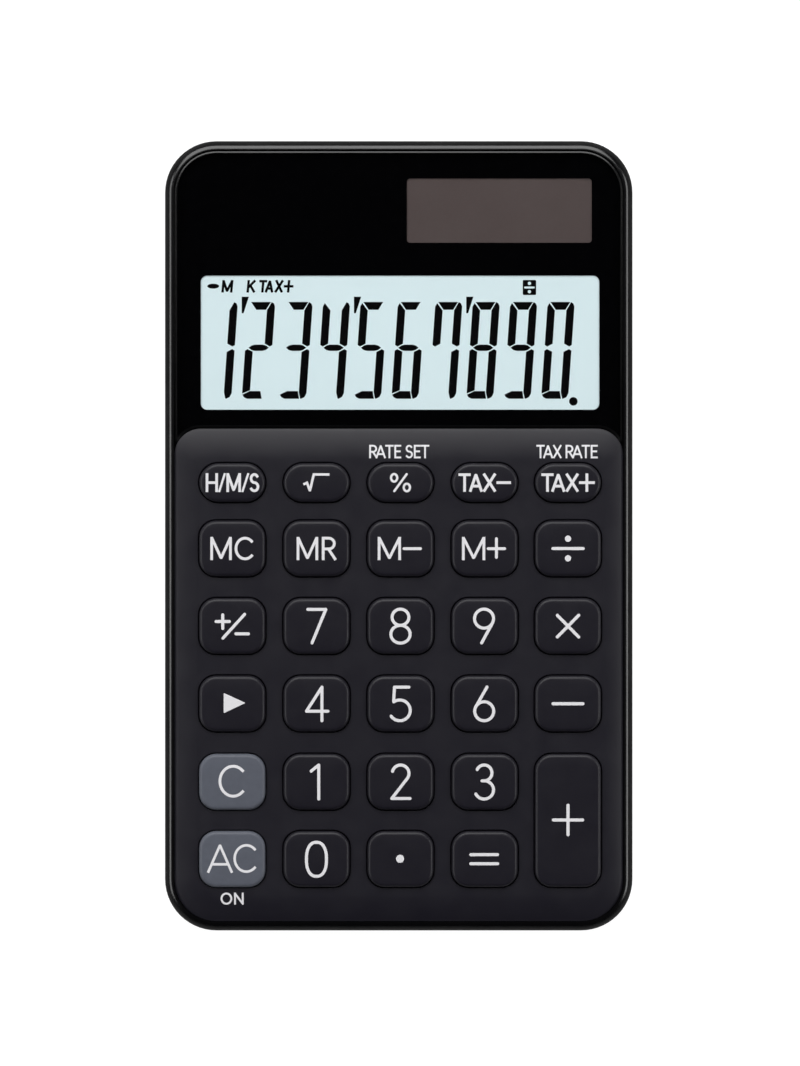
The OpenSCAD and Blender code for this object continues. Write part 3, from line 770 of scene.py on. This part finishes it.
def make_key(k):
    kd = KEY[k]
    x, y, w, d, r, top = kd["x"], kd["y"], kd["w"], kd["d"], kd["r"], kd["top"] - 0.03
    b = Build()
    n = 9
    fw, fd, fr = w + 2 * FLANGE, d + 2 * FLANGE, r + FLANGE
    rings = [(rr(fw - 0.1, fd - 0.1, fr - 0.05, x, y, n), 4.35), (rr(fw, fd, fr, x, y, n), 4.42), (rr(fw, fd, fr, x, y, n), 4.90),
             (rr(fw - 0.06, fd - 0.06, fr - 0.03, x, y, n), 4.95), (rr(w, d, r, x, y, n), 4.95), (rr(w, d, r, x, y, n), 6.2)]
    edge = top - CROWN
    f, h = 0.60, 0.52
    for i, (a, c) in enumerate(quarter(7, f, h)):
        rings.append((rr(w - 2 * a, d - 2 * a, r - a, x, y, n), edge - c - (0.0 if i else 0.0)))
    for s in (0.86, 0.66, 0.42, 0.18):
        wi, di = (w - 2 * f) * s, (d - 2 * f) * s
        rings.append((rr(wi, di, max((r - f) * s, 0.05), x, y, n), top - CROWN * s * s))
    ids = b.loft(rings)
    b.cap(ids[0], flip=True)
    b.fan(ids[-1], (x, y, top))
    for py in (ROW_Y[4], ROW_Y[5]) if k == "plus" else (y,):
        b.tube(x, py, 1.6, kd["bottom"], 4.40, 24, chamfer=0.1)
    ob = b.make("key_cap_" + k, KEY_GREY if k in ("c", "ac") else KEY_DARK, angle=40)
    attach(ob, "key_" + k)
    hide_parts("key_" + k)
    regions, holes = legend_regions(k)
    if regions:
        lg = decal("legend_" + k, regions, key_height(kd), INK, thick=0.014, holes=holes, sink=0.03, origin=(x, y + (0.12 if k in ("c", "ac") else 0.0)))
        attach(lg, "key_" + k)


for k in KEYS:
    make_key(k)


# ------------------------------------------------------------------ keypad plate
CROWN_DROP = 0.55
CROWN_W = (3.5, 3.0, 4.0, 4.5)  # left, right, bottom, top


def make_plate():
    b = Build()
    top, seat = PLATE_HI.z, PLATE_LO.z
    n = 12
    drop = CROWN_DROP
    wide = CROWN_W
    rings = [(plate_rr(0.05, 0.05, 0.05, 0.05, n), seat), (plate_rr(0, 0, 0, 0, n), seat + 0.05), (plate_rr(0, 0, 0, 0, n), top - drop - 0.08)]
    for i in range(1, 4):
        a = math.pi / 2 * i / 3
        q = 0.07 * (1 - math.cos(a))
        rings.append((plate_rr(q, q, q, q, n), top - drop - 0.08 + 0.07 * math.sin(a)))
    for i in range(1, 13):
        t = i / 12
        z = top - drop * (1 - t) ** 1.6
        e = 0.07
        rings.append((plate_rr(*(e + (s - e) * t for s in wide), n), z))
    ids = b.loft(rings)
    low, high = [], []
    for k in KEYS:
        kd = KEY[k]
        g = 0.15
        def hole(extra):
            return rr(kd["w"] + 2 * (g + extra), kd["d"] + 2 * (g + extra), kd["r"] + g + extra, kd["x"], kd["y"], 8)
        r0 = b.ring(hole(0.10), top)
        r1 = b.ring(hole(0.03), top - 0.03)
        r2 = b.ring(hole(0.0), top - 0.10)
        r3 = b.ring(hole(0.0), seat)
        b.bridge(r0, r1, flip=True)
        b.bridge(r1, r2, flip=True)
        b.bridge(r2, r3, flip=True)
        high.append(r0)
        low.append(r3)
    b.sheet(ids[-1], high, top, up=True)
    b.sheet(ids[0], low, seat, up=False)
    ob = b.make("keypad_face", PLATE, angle=40)
    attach(ob, "case")
    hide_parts("keypad_plate")
    labels = (
        ("label_rate_set", [("R", -4.50, -3.26), ("A", -3.54, -2.02), ("T", -2.12, -0.84), ("E", -0.74, 0.30), ("S", 0.92, 2.04), ("E", 2.18, 3.20), ("T", 3.20, 4.50)], 0.08, 12.60, 2.02, 0.27),
        ("label_tax_rate", [("T", -4.66, -3.40), ("A", -3.64, -2.16), ("X", -2.16, -0.88), ("R", -0.28, 0.94), ("A", 0.70, 2.24), ("T", 2.12, 3.38), ("E", 3.48, 4.54)], 25.24, 12.60, 2.02, 0.27),
        ("label_on", [("O", -1.74, 0.02), ("N", 0.28, 1.72)], -24.92, -54.28, 1.82, 0.29),
    )
    for name, items, x, y, h, w in labels:
        lb = decal(name, word(items, h, w), plate_z, INK, thick=0.014, sink=0.03, origin=(x, y))
        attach(lb, "case")


def plate_z(x, y):
    """Height of the plate's crowned face at a point away from its corners."""
    top = PLATE_HI.z
    wide = CROWN_W
    d = [x - PLATE_LO.x, PLATE_HI.x - x, y - PLATE_LO.y, PLATE_HI.y - y]
    t = min(1.0, max(0.0, min((a - 0.07) / (s - 0.07) for a, s in zip(d, wide))))
    return top - CROWN_DROP * (1 - t) ** 1.6


make_plate()


# ------------------------------------------------------------------ display lens
def lens_outline(inset, low, n=12):
    """Outline of the lens: round corners above, and below it follows the plate's rounded shoulders."""
    x0, x1 = LENS_LO.x + inset, LENS_HI.x - inset
    y1 = LENS_HI.y - inset
    r = CORNER - INSET - inset
    pts = []
    for sx, a0 in ((1, 0), (-1, 90)):
        ox, oy = (x1 - r if sx > 0 else x0 + r), y1 - r
        for i in range(n + 1):
            a = math.radians(a0 + 90 * i / n)
            pts.append((ox + r * math.cos(a), oy + r * math.sin(a)))
    # down the left side, along the plate's shoulders and up the right side
    R = 4.0 + 0.06 + inset
    cyc = PLATE_HI.y - 4.0
    for sx in (-1, 1):
        cx = (PLATE_LO.x + 4.0) if sx < 0 else (PLATE_HI.x - 4.0)
        side = x0 if sx < 0 else x1
        a_low = math.asin(max(-1, min(1, (low - cyc) / R)))
        arcp = []
        for i in range(n + 1):
            a = a_low + (math.pi / 2 - a_low) * i / n
            arcp.append((cx + sx * R * math.cos(a), cyc + R * math.sin(a)))
        if sx < 0:
            pts.append((side, low))
            pts += arcp
        else:
            pts += list(reversed(arcp))
            pts.append((side, low))
    return pts


def make_lens():
    top, seat = LENS_HI.z, LENS_LO.z
    # the printed layer behind the acrylic, open at the two windows
    b = Build()
    zt = seat + 0.05
    outer_t = b.ring(lens_outline(0.12, 14.15), zt)
    outer_b = b.ring(lens_outline(0.12, 14.15), seat)
    b.bridge(outer_b, outer_t)
    hs_t, hs_b = [], []
    for cx, cy, w, h, r in ((LCD[0], LCD[1], LCD[2], LCD[3], 0.95), (SOLAR[0], SOLAR[1], SOLAR[2], SOLAR[3], 0.5)):
        t = b.ring(rr(w, h, r, cx, cy, 8), zt)
        u = b.ring(rr(w, h, r, cx, cy, 8), seat)
        b.bridge(t, u, flip=True)
        hs_t.append(t)
        hs_b.append(u)
    b.sheet(outer_t, hs_t, zt, up=True)
    b.sheet(outer_b, hs_b, seat, up=False)
    pr = b.make("lens_print", MT["print"], angle=30)
    # the clear acrylic with its bevelled edge
    b = Build()
    zc = zt + 0.01
    rings = [(lens_outline(0.02, 14.02), zc), (lens_outline(0.0, 14.0), zc + 0.04)]
    tip = math.radians(38)
    for i in range(9):
        t = tip * (1 - i / 8)
        a, c = 0.7 * (math.sin(tip) - math.sin(t)), 0.7 * (1 - math.cos(t))
        rings.append((lens_outline(a, 14.0 + a), top - c))
    ids = b.loft(rings)
    b.sheet(ids[-1], [], top, up=True)
    b.sheet(ids[0], [], zc, up=False)
    cl = b.make("lens_acrylic", [MT["acrylic"], MT["acrylic_edge"], MT["acrylic_under"]], angle=50)
    for f in cl.data.polygons:
        if abs(f.normal.z) < 0.9995:
            f.material_index = 1
        elif f.normal.z < 0:
            f.material_index = 2
    for ob in (pr, cl):
        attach(ob, "case")
        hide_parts("display_lens")


make_lens()


# ------------------------------------------------------------------ display face, digits and marks
def seg_polys(w=4.05, h=14.5, t=1.17):
    mid = h * 0.527
    return {
        "a": [(0.42, h), (w - 0.66, h), (w - t - 0.14, h - t), (t + 0.12, h - t)],
        "b": [(w - 0.54, h - 0.02), (w - 0.22, h - 0.20), (w, h - 0.66), (w, mid + 0.40), (w - 0.38, mid + 0.19), (w - t, mid + 0.62), (w - t, h - t - 0.08)],
        "f": [(0.27, h - 0.16), (t, h - t - 0.10), (t, mid + 0.60), (0.40, mid + 0.18), (0.0, mid + 0.42), (0.0, h - 0.72)],
        "g": [(0.50, mid), (0.95, mid + 0.34), (1.45, mid + 0.47), (w - 1.45, mid + 0.47), (w - 0.95, mid + 0.34), (w - 0.50, mid), (w - 0.95, mid - 0.34), (w - 1.45, mid - 0.47), (1.45, mid - 0.47), (0.95, mid - 0.34)],
        "e": [(0.38, mid - 0.20), (t, mid - 0.58), (t, t + 0.10), (0.02, 0.78), (0.0, 1.05), (0.0, mid - 0.44)],
        "c": [(w - 0.38, mid - 0.20), (w, mid - 0.44), (w, 0.85), (w - 0.26, 0.26), (w - 0.76, 0.0), (w - 0.90, 0.03), (w - t, 0.98), (w - t, mid - 0.62)],
        "d": [(0.06, 0.62), (t - 0.05, t - 0.02), (w - t - 0.16, t - 0.02), (w - 1.06, 0.0), (0.80, 0.0), (0.30, 0.24)],
    }


DIGITS = {"0": "abcdef", "1": "bc", "2": "abged", "3": "abgcd", "4": "fbgc", "5": "afgcd", "6": "afgedc", "7": "fabc", "8": "abcdefg", "9": "abfgcd"}


def make_display():
    lo, hi = (v * 1000 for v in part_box("lcd_front_polariser"))
    cx, cy = (lo.x + hi.x) / 2, (lo.y + hi.y) / 2
    w, l = hi.x - lo.x, hi.y - lo.y
    b = Build()
    zt = hi.z
    rings = [(rr(w, l, 0.3, cx, cy, 4), lo.z), (rr(w, l, 0.3, cx, cy, 4), zt - 0.02), (rr(w - 0.04, l - 0.04, 0.28, cx, cy, 4), zt)]
    ids = b.loft(rings)
    b.cap(ids[0], flip=True)
    b.sheet(ids[-1], [], zt, up=True)
    ob = b.make("display_film", MT["film"], angle=30)
    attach(ob, "case")
    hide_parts("lcd_front_polariser")
    flat = lambda x, y: zt
    slant = 0.0685
    segs = seg_polys()
    polys = []
    for i, d in enumerate("1234567890"):
        x0, y0 = -29.14 + 5.607 * i, 20.53
        for s in DIGITS[d]:
            polys.append([(x0 + px + slant * py, y0 + py) for px, py in segs[s]])
    for i in range(3):
        x = -23.53 + 16.82 * i
        polys.append([(x, 35.82), (x + 1.08, 35.82), (x + 0.28, 33.34), (x, 33.34)])
    polys.append(circle(26.16, 20.14, 0.64, 28))
    marks = [[(-27.80 + 0.88 * math.cos(a), 37.40 + 0.37 * math.sin(a) ** 1) for a in [2 * math.pi * i / 24 for i in range(24)]]]
    for items, x in (([("M", -0.83, 0.83)], -25.67), ([("K", -0.62, 0.66)], -22.12), ([("T", -2.58, -1.38), ("A", -1.62, -0.36), ("X", -0.16, 1.06), ("+", 1.14, 2.62)], -18.38)):
        marks += [[(px + x, py + 37.38) for px, py in q] for q in word(items, 1.90, 0.37, slant=0.09)]
    box = rr(2.0, 2.25, 0.18, 19.58, 37.2, 5)
    holes = [circle(19.58, 37.82, 0.25, 16), circle(19.58, 36.58, 0.25, 16)] + outline_regions([[(18.94, 37.2), (20.22, 37.2)]], 0.30)
    dg = decal("display_digits", polys, flat, MT["segment"], thick=0.008, sink=0.01)
    mk = decal("display_marks", marks, flat, MT["segment"], thick=0.008, sink=0.01)
    bx = decal("display_mark_box", [box], flat, MT["segment"], thick=0.008, sink=0.01, holes=holes)
    for o in (dg, mk, bx):
        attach(o, "case")
    # solar cell: a thin panel of the brown film with a bevelled top edge
    lo, hi = (v * 1000 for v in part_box("solar_cell"))
    cx, cy = (lo.x + hi.x) / 2, (lo.y + hi.y) / 2
    w, l = hi.x - lo.x, hi.y - lo.y
    b = Build()
    ids = b.loft([(rr(w, l, 0.3, cx, cy, 5), lo.z), (rr(w, l, 0.3, cx, cy, 5), hi.z - 0.05), (rr(w - 0.1, l - 0.1, 0.25, cx, cy, 5), hi.z)])
    b.cap(ids[0], flip=True)
    b.sheet(ids[-1], [], hi.z, up=True)
    so = b.make("solar_panel", MT["solar"], angle=30)
    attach(so, "case")
    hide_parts("solar_cell")


make_display()


# ------------------------------------------------------------------ case halves
def make_front():
    # outer wall, rounded rim, groove and recess
    b = Build()
    n = 14
    def o(inset, z):
        return (rr(W - 2 * inset, L - 2 * inset, CORNER - inset, 0, 0, n), z)
    rings = [o(WALL, DECK_LO), o(WALL, SPLIT + 0.15), o(WALL - 0.1, SPLIT), o(0.14, SPLIT), o(0.04, SPLIT + 0.05), o(0.0, SPLIT + 0.14)]
    # outer edge: a tight rounding, a steady slope and a soft crest
    crest, soft, tight, tilt = 1.33, 1.20, 0.05, math.radians(37)
    run = crest - tight * (1 - math.sin(tilt)) - soft * math.sin(tilt)
    z_slope = RIM - soft * (1 - math.cos(tilt))
    z_edge = z_slope - run * math.tan(tilt)
    z_side = z_edge - tight * math.cos(tilt)
    rings.append(o(0.0, z_side - 0.8))
    for i in range(6):
        a = (math.pi / 2) + (tilt - math.pi / 2) * i / 5
        rings.append(o(tight * (1 - math.sin(a)), z_side + tight * math.cos(a)))
    for i in range(10):
        a = tilt * (1 - i / 9)
        rings.append(o(crest - soft * math.sin(a), RIM - soft * (1 - math.cos(a))))
    in_w, in_h = INSET - 0.05 - crest, 0.34
    for i in range(1, 7):
        a = math.pi / 2 * i / 6
        rings.append(o(crest + in_w * math.sin(a), RIM - in_h * (1 - math.cos(a))))
    rings.append(o(INSET - 0.05, DECK_HI + 0.1))
    rings.append(o(INSET + 0.05, DECK_HI))
    ids = b.loft(rings)
    # deck with its openings, and posts
    holes_t, holes_b = [], []
    shapes = [rr(KEY[k]["w"] + 0.5, KEY[k]["d"] + 0.5, KEY[k]["r"] + 0.25, KEY[k]["x"], KEY[k]["y"], 6) for k in KEYS]
    shapes.append(rr(63.0, 24.8, 1.0, 0, 28.4, 6))
    shapes.append(rr(SOLAR[2] + 0.7, SOLAR[3] + 0.7, 0.6, SOLAR[0], SOLAR[1], 6))
    for s in shapes:
        t, u = b.ring(s, DECK_HI), b.ring(s, DECK_LO)
        b.bridge(t, u, flip=True)
        holes_t.append(t)
        holes_b.append(u)
    b.sheet(ids[-1], holes_t, DECK_HI, up=True)
    b.sheet(ids[0], holes_b, DECK_LO, up=False)
    for x, y in POSTS:
        b.tube(x, y, 1.5, 2.0, DECK_LO + 0.02, 28, chamfer=0.1)
    for x, y in BOSSES:
        b.tube(x, y, 1.3, BOARD_HI.z, DECK_LO + 0.02, 24, chamfer=0.08)
    ob = b.make("front_shell", CASE_BLACK, angle=40)
    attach(ob, "case")
    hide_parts("front_case")


def make_rear():
    b = Build()
    n = 14
    def o(inset, z):
        return (rr(W - 2 * inset, L - 2 * inset, CORNER - inset, 0, 0, n), z)
    f = 1.6
    rings = []
    for i in range(0, 11):
        a = math.pi / 2 * i / 10
        rings.append(o(f * (1 - math.sin(a)), f * (1 - math.cos(a))))
    rings += [o(0.0, SPLIT - 0.14), o(0.04, SPLIT - 0.05), o(0.14, SPLIT), o(1.7, SPLIT), o(1.7, SPLIT + 0.7), o(1.8, SPLIT + 0.8), o(2.3, SPLIT + 0.8), o(REAR_IN, SPLIT + 0.7), o(REAR_IN, FLOOR_T + 0.2), o(REAR_IN + 0.2, FLOOR_T)]
    ids = b.loft(rings)
    b.sheet(ids[-1], [], FLOOR_T, up=True)
    # underside: screw holes and a blank label recess
    holes = []
    for x, y in POSTS:
        c0 = b.ring(circle(x, y, 1.78, 32), 0.0)
        c1 = b.ring(circle(x, y, 1.62, 32), 0.14)
        c2 = b.ring(circle(x, y, 1.6, 32), 1.1)
        c3 = b.ring(circle(x, y, 0.85, 32), 1.1)
        c4 = b.ring(circle(x, y, 0.85, 32), 2.0)
        c5 = b.ring(circle(x, y, 2.1, 32), 2.0)
        c6 = b.ring(circle(x, y, 2.1, 32), FLOOR_T - 0.02)
        for p, q in ((c0, c1), (c1, c2), (c2, c3), (c3, c4), (c4, c5), (c5, c6)):
            b.bridge(p, q, flip=False)
        holes.append(c0)
    q0 = b.ring(rr(38, 22, 2, 0, -4, 8), 0.0)
    q1 = b.ring(rr(37.7, 21.7, 1.85, 0, -4, 8), 0.06)
    q2 = b.ring(rr(37.6, 21.6, 1.8, 0, -4, 8), 0.15)
    b.bridge(q0, q1)
    b.bridge(q1, q2)
    b.cap(q2, flip=True)
    holes.append(q0)
    b.sheet(ids[0], holes, 0.0, up=False)
    for x in (COL_X[0], COL_X[2], COL_X[4]):
        for y in (ROW_Y[1], ROW_Y[3], ROW_Y[5]):
            b.tube(x, y, 1.5, FLOOR_T - 0.02, BOARD_LO.z, 20)
    # ring round the button cell, open on the side of the contacts
    bx, by = -18.0, 48.6
    r0, r1, z0, z1 = 6.0, 6.9, FLOOR_T - 0.02, 3.2
    a0 = math.radians(22)
    arcs = [a0 + (2 * math.pi - 2 * a0) * i / 48 for i in range(49)]
    secs = []
    for a in arcs:
        c, s = math.cos(a), math.sin(a)
        k = len(b.v)
        for r, z in ((r0, z0), (r1, z0), (r1, z1), (r0, z1)):
            b.v.append((bx + r * c, by + r * s, z))
        secs.append([k, k + 1, k + 2, k + 3])
    for p, q in zip(secs, secs[1:]):
        for i in range(4):
            j = (i + 1) % 4
            b.f.append((p[i], p[j], q[j], q[i]))
            b.m.append(0)
    b.cap(secs[0], flip=True)
    b.cap(secs[-1])
    ob = b.make("rear_shell", BACK_BLACK, angle=40)
    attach(ob, "case")
    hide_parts("rear_case")


make_front()
make_rear()


# ------------------------------------------------------------------ key mat: a sheet, and a dome for every key position
def make_mat():
    z0 = BOARD_HI.z
    z1 = z0 + 0.4
    b = Build()
    cy, w, l = -20.4, 64.0, 64.0
    holes_t, holes_b = [], []
    outer_t, outer_b = b.ring(rr(w, l, 3.6, 0, cy, 8), z1), b.ring(rr(w, l, 3.6, 0, cy, 8), z0)
    b.bridge(outer_b, outer_t)
    spots = [(x, y, 3.4) for x in COL_X for y in ROW_Y] + [(x, y, 1.6) for x, y in BOSSES if y < 10]
    for x, y, r in spots:
        t, u = b.ring(circle(x, y, r, 28), z1), b.ring(circle(x, y, r, 28), z0)
        b.bridge(t, u, flip=True)
        holes_t.append(t)
        holes_b.append(u)
    b.sheet(outer_t, holes_t, z1, up=True)
    b.sheet(outer_b, holes_b, z0, up=False)
    ob = b.make("keymat_sheet", SILICONE, angle=40)
    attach(ob, "case")
    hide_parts("keymat")
    top = KEY["7"]["bottom"]
    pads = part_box("board_pads")[1].z * 1000
    for i, x in enumerate(COL_X):
        for j, y in enumerate(ROW_Y):
            k = ROWS[j][i] or "plus"
            b = Build()
            prof = [(2.9, z0), (3.4, z0), (3.4, z1), (3.2, z1 + 0.04), (2.2, 3.55), (2.02, 3.72), (1.96, top - 0.06), (1.86, top)]
            inner = [(1.45, 3.45), (1.75, 3.45), (2.78, z0 + 0.22), (2.9, z0 + 0.1)]
            ids = b.loft([(circle(x, y, r, 28), z) for r, z in prof])
            b.fan(ids[-1], (x, y, top))
            ins = b.loft([(circle(x, y, r, 28), z) for r, z in reversed(inner)])
            b.bridge(ids[0], ins[0], flip=True)
            b.fan(ins[-1], (x, y, 3.45), flip=True)
            dm = b.make("dome_%s_%d" % (k, j), SILICONE, angle=50)
            flip_inner(dm)
            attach(dm, "case")
            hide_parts("keymat")
            t = TRAVEL["key_" + k]
            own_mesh(dm)
            b = Build()
            b.tube(x, y, 1.4, pads + t + 0.02, 3.44, 24, chamfer=0.03)
            pl = b.make("pill_%s_%d" % (k, j), CARBON, angle=40)
            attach(pl, "key_" + k)


def flip_inner(ob):
    """Makes all normals of a closed mesh point outwards."""
    bm = bmesh.new()
    bm.from_mesh(ob.data)
    bmesh.ops.recalc_face_normals(bm, faces=bm.faces)
    bm.to_mesh(ob.data)
    bm.free()


make_mat()


# ------------------------------------------------------------------ carried-over CAD nodes
CARRY = {
    "case_screws": "steel", "board_screws": "steel", "lens_tape": "tape", "plate_tape": "tape", "circuit_board": "board",
    "chip_parts": "ceramic", "lcd_front_glass": "glass", "lcd_rear_glass": "glass", "lcd_reflector": "reflector", "zebra_strip": "zebra",
    "solar_pad": "foam", "solar_wires": "wire", "battery": "battery", "battery_contact_plus": "brass", "battery_contact_minus": "brass",
}
for node, key in CARRY.items():
    for s in frame["nodes"][node].material_slots:
        s.material = MT[key]
for node, m in (("board_pads", CARBON), ("chip_blob", EPOXY), ("lcd_holder", HOLDER)):
    for s in frame["nodes"][node].material_slots:
        s.material = m


# ------------------------------------------------------------------ floor, light and camera
def make_stage():
    b = Build()
    s = 3000.0
    a = b.ring([(-s, -s), (s, -s), (s, s), (-s, s)], 0.0)
    b.cap(a)
    m = Mat("floor_white")
    m.to(m.mix(m.noise(3, 2), (0.22, 0.22, 0.22), (0.26, 0.26, 0.26)), "Base Color")
    m.b.inputs["Roughness"].default_value = 0.9
    m.b.inputs["Specular IOR Level"].default_value = 0.0
    m.b.inputs["Emission Color"].default_value = (1, 1, 1, 1)
    m.b.inputs["Emission Strength"].default_value = 0.94
    ob = b.make("floor", m.m, smooth=False)
    ob.location.z = -0.00002


make_stage()


def area(name, pos, target, sx, sy, power, color=(1, 1, 1)):
    d = bpy.data.lights.new(name, "AREA")
    d.shape = "RECTANGLE"
    d.size, d.size_y = sx, sy
    d.energy = power
    d.color = color
    o = bpy.data.objects.new(name, d)
    o.location = pos
    o.rotation_euler = (Vector(target) - Vector(pos)).to_track_quat("-Z", "Y").to_euler()
    bpy.context.scene.collection.objects.link(o)
    return o


area("top_box", (-0.10, 0.80, 0.85), (0, 0, 0), 1.30, 0.90, 14.2)
area("left_box", (-0.90, 0.0, 0.66), (0, 0, 0), 0.90, 0.40, 3.9)
area("right_box", (0.90, 0.0, 0.66), (0, 0, 0), 0.90, 0.40, 4.3)

# a dim room that is pale only along the horizon, so the floor has no dark edge from the side
world = bpy.data.worlds.new("studio")
bpy.context.scene.world = world
world.use_nodes = True
wn = world.node_tree.nodes
wl = world.node_tree.links
bg = wn["Background"]
bg.inputs["Color"].default_value = (1, 1, 1, 1)
w_tc = wn.new("ShaderNodeTexCoord")
w_xyz = wn.new("ShaderNodeSeparateXYZ")
w_map = wn.new("ShaderNodeMapRange")
for socket, value in (("From Min", 0.10), ("From Max", 0.17), ("To Min", 0.94), ("To Max", 0.012)):
    w_map.inputs[socket].default_value = value
wl.new(w_tc.outputs["Generated"], w_xyz.inputs[0])
wl.new(w_xyz.outputs["Z"], w_map.inputs["Value"])
wl.new(w_map.outputs["Result"], bg.inputs["Strength"])

scene = bpy.context.scene
scene.view_settings.view_transform = "Standard"
scene.view_settings.look = "None"
scene.view_settings.exposure = 0.0
scene.view_settings.gamma = 1.0

# straight down from above, on a long lens. The body's outline fills the same part of the frame.
cam_d = bpy.data.cameras.new("cam")
cam = bpy.data.objects.new("cam", cam_d)
scene.collection.objects.link(cam)
scene.camera = cam
FRAME_W, FRAME_H = 800.0, 1066.0
PX = 70.0 / 467.3  # millimetres for one pixel of the frame, at the rim
cam_d.sensor_fit = "AUTO"
cam_d.sensor_width = 36.0
cam_d.lens = 200.0
view_h = FRAME_H * PX * MM
dist = view_h * cam_d.lens / cam_d.sensor_width
cx = (FRAME_W / 2 - 398.75) * PX * MM
cy = -(FRAME_H / 2 - 535.8) * PX * MM
cam.location = (cx, cy, dist + 0.006)
cam.rotation_euler = (0, 0, 0)
cam_d.clip_start = 0.05
cam_d.clip_end = 20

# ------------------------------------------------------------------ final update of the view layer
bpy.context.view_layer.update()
